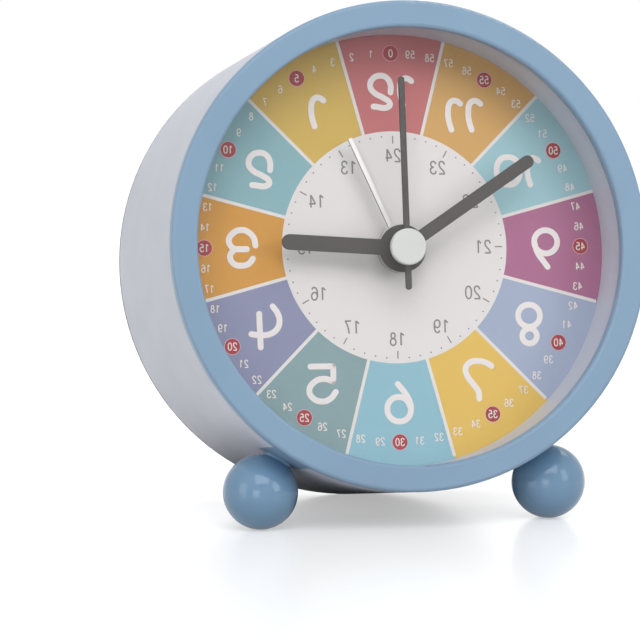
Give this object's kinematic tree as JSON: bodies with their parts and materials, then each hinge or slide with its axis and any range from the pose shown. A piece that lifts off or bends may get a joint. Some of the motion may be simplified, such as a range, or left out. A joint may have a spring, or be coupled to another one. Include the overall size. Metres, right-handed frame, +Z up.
{
  "type": "alarm clock",
  "caption": "Round children's alarm clock with a wedge-coloured dial, ring night light, ball feet and a rear cover with setting knobs and a battery door.",
  "frame": {"origin": "on the floor under the middle of the clock's bounding box", "axes": "+Z up; -Y is the front, where the dial faces, leaning back by 8 degrees; +X is to the right of someone who looks at the dial"},
  "size_m": [0.1009, 0.0702, 0.1071],
  "materials": {
    "white_plastic": "glossy white ABS moulding",
    "blue_plastic": "glossy powder-blue ABS moulding",
    "clear_lens": "clear polystyrene lens",
    "frosted_plastic": "frosted translucent polystyrene",
    "printed_dial": "dial with a printed paper face",
    "circuit_board": "green solder-masked board",
    "led": "moulded lamp body",
    "screw_steel": "bright zinc-plated steel",
    "black_plastic": "fine-textured black ABS",
    "black_knob": "plain black ABS",
    "button_white": "satin white ABS",
    "cell": "plain sleeve of a dry cell",
    "contact": "nickel-plated strip",
    "buzzer_black": "black moulded can",
    "housing": "natural white moulding",
    "wheel_plastic": "natural acetal moulding",
    "brass": "turned brass",
    "iron": "soft iron lamination",
    "copper": "enamelled copper winding",
    "hand_grey": "dark warm grey lacquered aluminium",
    "hand_silver": "bright aluminium",
    "cap_white": "white moulded cap",
    "magnet": "sintered magnet"
  },
  "bodies": {
    "case": {"case_shell": "white_plastic", "bezel_ring": "blue_plastic", "lens": "clear_lens", "light_ring": "frosted_plastic", "dial_plate": "printed_dial", "led_board": "circuit_board", "night_light_leds": "led", "ball_foot_left": "blue_plastic", "ball_foot_right": "blue_plastic", "foot_screws": "screw_steel", "rear_cover": "black_plastic", "case_screws": "screw_steel", "battery_cell": "cell", "plate_contact": "contact", "spring_contact": "contact", "control_board": "circuit_board", "light_switch": "buzzer_black", "slide_switch": "contact", "buzzer": "buzzer_black", "movement_front": "housing", "movement_plate": "housing", "movement_back": "housing", "movement_screws": "screw_steel", "stator": "iron", "coil_core": "iron", "coil_bobbin": "housing", "coil_winding": "copper", "quartz_board": "circuit_board", "crystal": "contact"},
    "battery_door": {"battery_door": "black_plastic"},
    "light_button": {"light_button": "button_white"},
    "alarm_slider": {"alarm_slider": "black_knob"},
    "minute_group": {"minute_arbor": "wheel_plastic", "clutch_washer": "brass", "minute_hand": "hand_grey"},
    "hour_group": {"hour_wheel": "wheel_plastic", "hour_hand": "hand_grey"},
    "motion_wheel": {"motion_wheel": "wheel_plastic"},
    "time_setting": {"time_set_shaft": "wheel_plastic", "time_knob": "black_knob"},
    "alarm_group": {"alarm_wheel": "wheel_plastic", "alarm_hand": "hand_silver"},
    "alarm_idler": {"alarm_idler": "wheel_plastic"},
    "alarm_setting": {"alarm_set_shaft": "wheel_plastic", "alarm_knob": "black_knob"},
    "second_group": {"second_wheel": "wheel_plastic", "second_hand": "hand_grey", "hub_cap": "cap_white"},
    "step_wheel": {"step_wheel": "wheel_plastic"},
    "rotor": {"rotor": "magnet"},
    "third_wheel": {"third_wheel": "wheel_plastic"},
    "centre_wheel": {"centre_wheel": "wheel_plastic"}
  },
  "joints": [
    {"name": "minute_hand_turn", "type": "hinge", "parent": "case", "child": "minute_group", "pos_m": [0, -0.01442, 0.05577], "axis": [0, -0.9903, 0.1392], "continuous": true},
    {"name": "hour_hand_turn", "type": "hinge", "parent": "case", "child": "hour_group", "pos_m": [0, -0.01442, 0.05577], "axis": [0, -0.9903, 0.1392], "continuous": true},
    {"name": "motion_wheel_turn", "type": "hinge", "parent": "case", "child": "motion_wheel", "pos_m": [0.00937, -0.01471, 0.05371], "axis": [0, -0.9903, 0.1392], "continuous": true},
    {"name": "time_knob_turn", "type": "hinge", "parent": "case", "child": "time_setting", "pos_m": [0.013, -0.01347, 0.06251], "axis": [0, -0.9903, 0.1392], "continuous": true},
    {"name": "alarm_hand_turn", "type": "hinge", "parent": "case", "child": "alarm_group", "pos_m": [0, -0.01442, 0.05577], "axis": [0, -0.9903, 0.1392], "continuous": true},
    {"name": "alarm_idler_turn", "type": "hinge", "parent": "case", "child": "alarm_idler", "pos_m": [-0.01403, -0.0136, 0.06157], "axis": [0, -0.9903, 0.1392], "continuous": true},
    {"name": "alarm_knob_turn", "type": "hinge", "parent": "case", "child": "alarm_setting", "pos_m": [-0.0242, -0.0139, 0.05944], "axis": [0, -0.9903, 0.1392], "continuous": true},
    {"name": "second_hand_turn", "type": "hinge", "parent": "case", "child": "second_group", "pos_m": [0, -0.01442, 0.05577], "axis": [0, -0.9903, 0.1392], "continuous": true},
    {"name": "step_wheel_turn", "type": "hinge", "parent": "case", "child": "step_wheel", "pos_m": [0.00728, -0.015, 0.05161], "axis": [0, -0.9903, 0.1392], "continuous": true},
    {"name": "rotor_turn", "type": "hinge", "parent": "case", "child": "rotor", "pos_m": [0.01152, -0.01559, 0.04741], "axis": [0, -0.9903, 0.1392], "continuous": true},
    {"name": "third_wheel_turn", "type": "hinge", "parent": "case", "child": "third_wheel", "pos_m": [-0.00349, -0.01575, 0.04628], "axis": [0, -0.9903, 0.1392], "continuous": true},
    {"name": "centre_wheel_turn", "type": "hinge", "parent": "case", "child": "centre_wheel", "pos_m": [0, -0.01442, 0.05577], "axis": [0, -0.9903, 0.1392], "continuous": true},
    {"name": "battery_door_swing", "type": "hinge", "parent": "case", "child": "battery_door", "pos_m": [0, 0.02662, 0.0388], "axis": [1, 0, 0], "range_deg": [0, 60]},
    {"name": "light_button_press", "type": "slide", "parent": "case", "child": "light_button", "axis": [0, -0.9903, 0.1392], "range_m": [0, 0.0012], "stiffness_N_per_m": 600},
    {"name": "alarm_slider_slide", "type": "slide", "parent": "case", "child": "alarm_slider", "axis": [0, 0.1392, 0.9903], "range_m": [0, 0.0048]}
  ],
  "couplings": [
    {"joint": "motion_wheel_turn", "follows": "minute_hand_turn", "ratio": -0.33333},
    {"joint": "hour_hand_turn", "follows": "minute_hand_turn", "ratio": 0.083333},
    {"joint": "time_knob_turn", "follows": "minute_hand_turn", "ratio": 1},
    {"joint": "alarm_idler_turn", "follows": "alarm_hand_turn", "ratio": -0.9},
    {"joint": "alarm_knob_turn", "follows": "alarm_hand_turn", "ratio": 3},
    {"joint": "step_wheel_turn", "follows": "second_hand_turn", "ratio": -6},
    {"joint": "rotor_turn", "follows": "second_hand_turn", "ratio": 30},
    {"joint": "third_wheel_turn", "follows": "second_hand_turn", "ratio": -0.13333},
    {"joint": "centre_wheel_turn", "follows": "second_hand_turn", "ratio": 0.016667}
  ]
}
